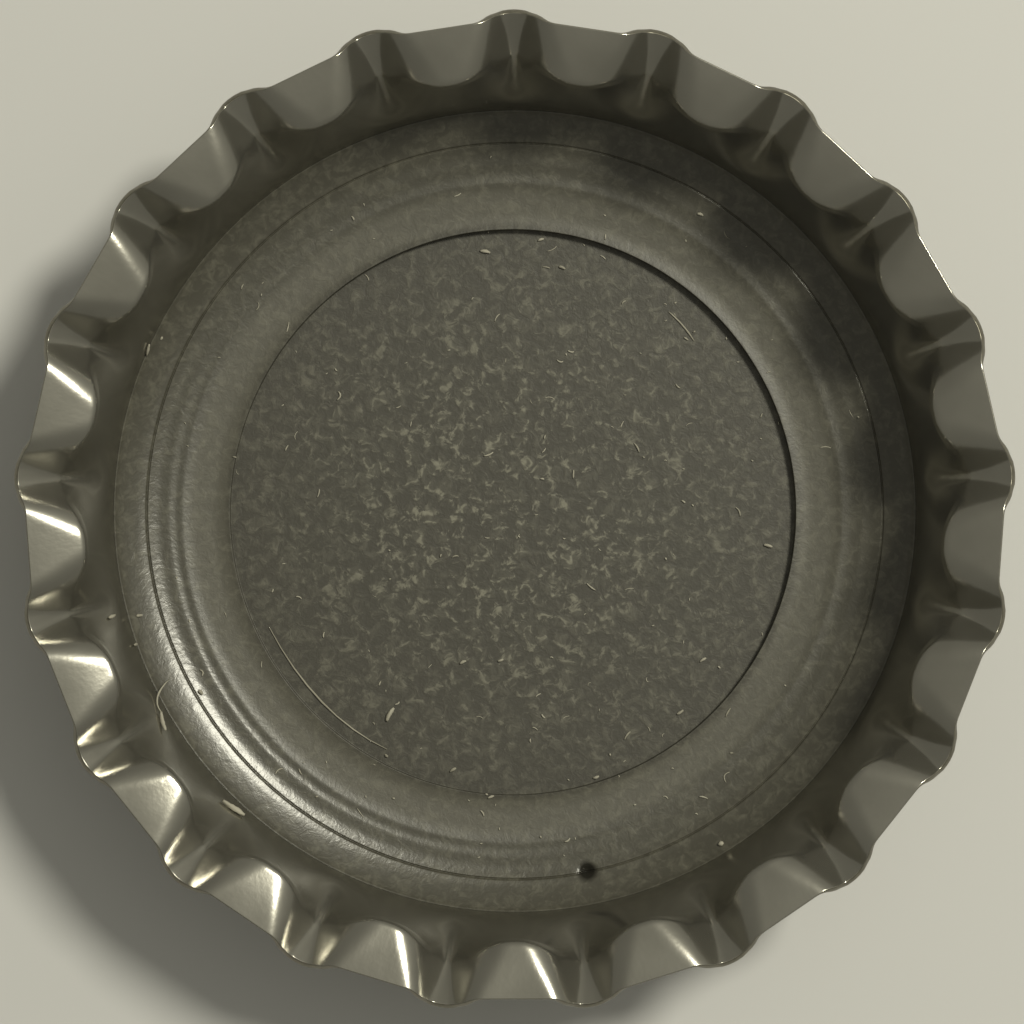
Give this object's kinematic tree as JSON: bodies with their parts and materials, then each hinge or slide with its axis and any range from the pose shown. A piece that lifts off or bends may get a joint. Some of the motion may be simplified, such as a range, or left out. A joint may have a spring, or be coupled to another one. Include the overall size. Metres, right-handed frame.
{
  "type": "bottle cap",
  "caption": "Unused crown cap, mouth up: a round pressed tinplate shell with a fluted skirt of rounded teeth and flat lips, and a thin sealing liner with moulded rings inside.",
  "frame": {"origin": "centre of the panel's outer face, which the cap lies on", "axes": "+Z out of the mouth along the cap's axis, +X through the middle of a tooth"},
  "size_m": [0.0322, 0.0322, 0.006],
  "materials": {
    "lacquered_tinplate": "tinplate under a thin clear lacquer, satin",
    "liner_compound": "soft moulded sealing compound, satin, slightly dusty"
  },
  "bodies": {
    "root": {"crown_shell": "lacquered_tinplate", "sealing_liner": "liner_compound"}
  },
  "joints": []
}
